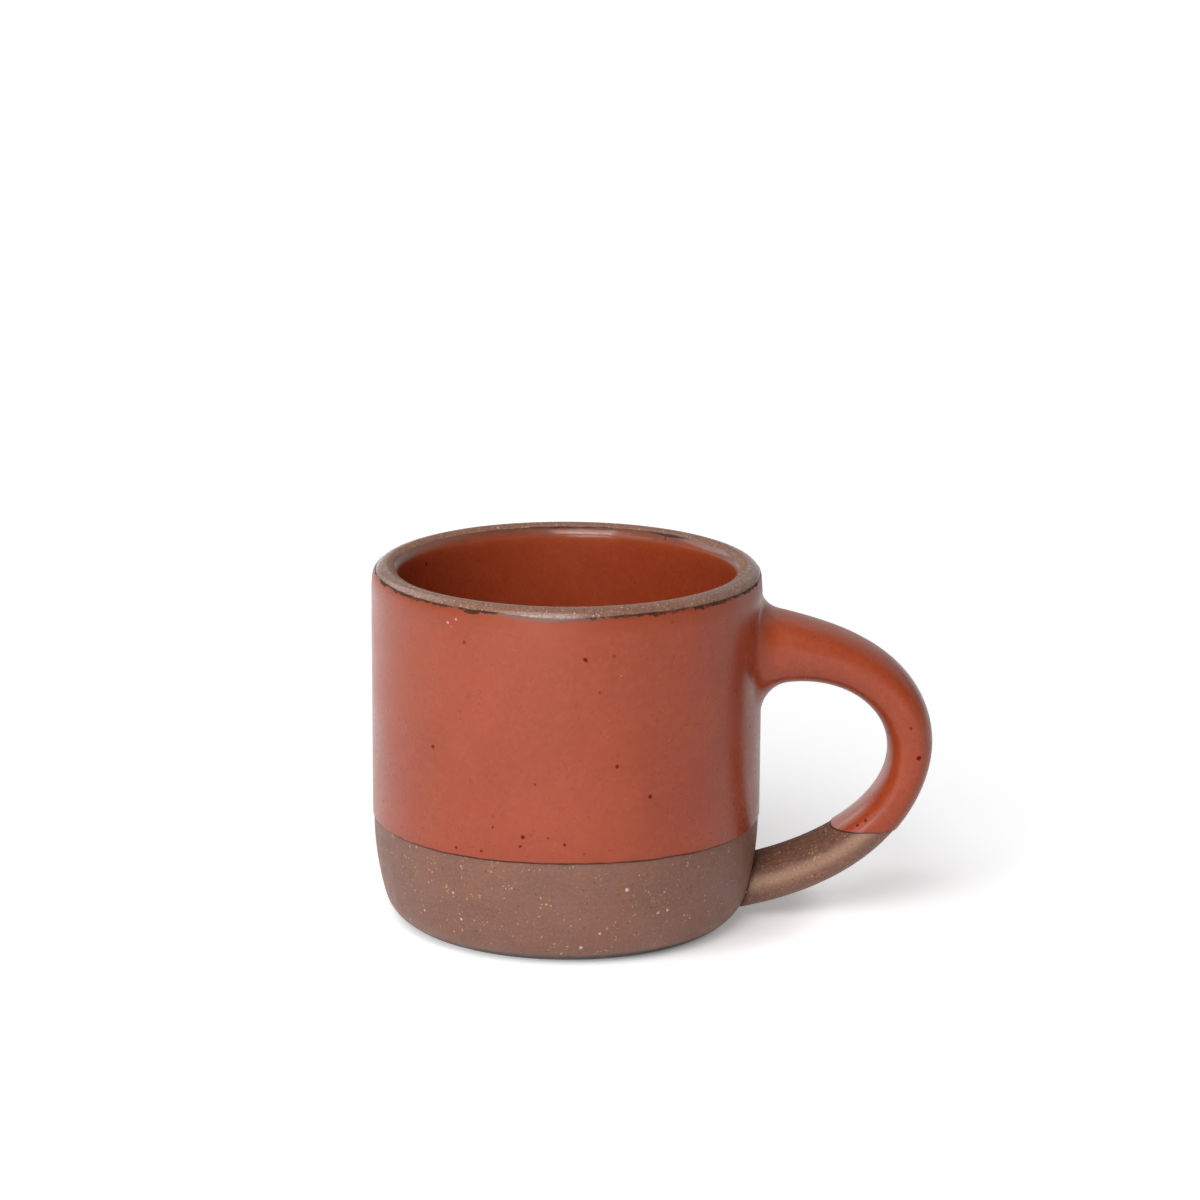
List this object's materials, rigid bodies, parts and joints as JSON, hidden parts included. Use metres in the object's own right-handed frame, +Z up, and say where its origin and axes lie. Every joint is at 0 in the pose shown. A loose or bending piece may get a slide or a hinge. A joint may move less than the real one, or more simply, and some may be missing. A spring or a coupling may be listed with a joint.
{
  "type": "stoneware mug",
  "caption": "Straight-sided stoneware mug with a loop strap handle, satin terracotta glaze inside and above a level dip line, and a bare clay rim and foot band.",
  "frame": {"origin": "centre of the foot, on the plane that the mug stands on", "axes": "+Z up along the axis of the cup, +X towards the handle, +Y by the right-hand rule; mirror symmetric about the XZ plane"},
  "size_m": [0.1284, 0.089, 0.083],
  "materials": {
    "stoneware": "matte",
    "slip": "matte",
    "glaze": "satin"
  },
  "bodies": {
    "root": {"cup_body": "stoneware", "handle": "stoneware", "upper_slip_joint": "slip", "lower_slip_joint": "slip", "outer_glaze": "glaze", "inner_glaze": "glaze", "handle_glaze": "glaze"}
  },
  "joints": []
}
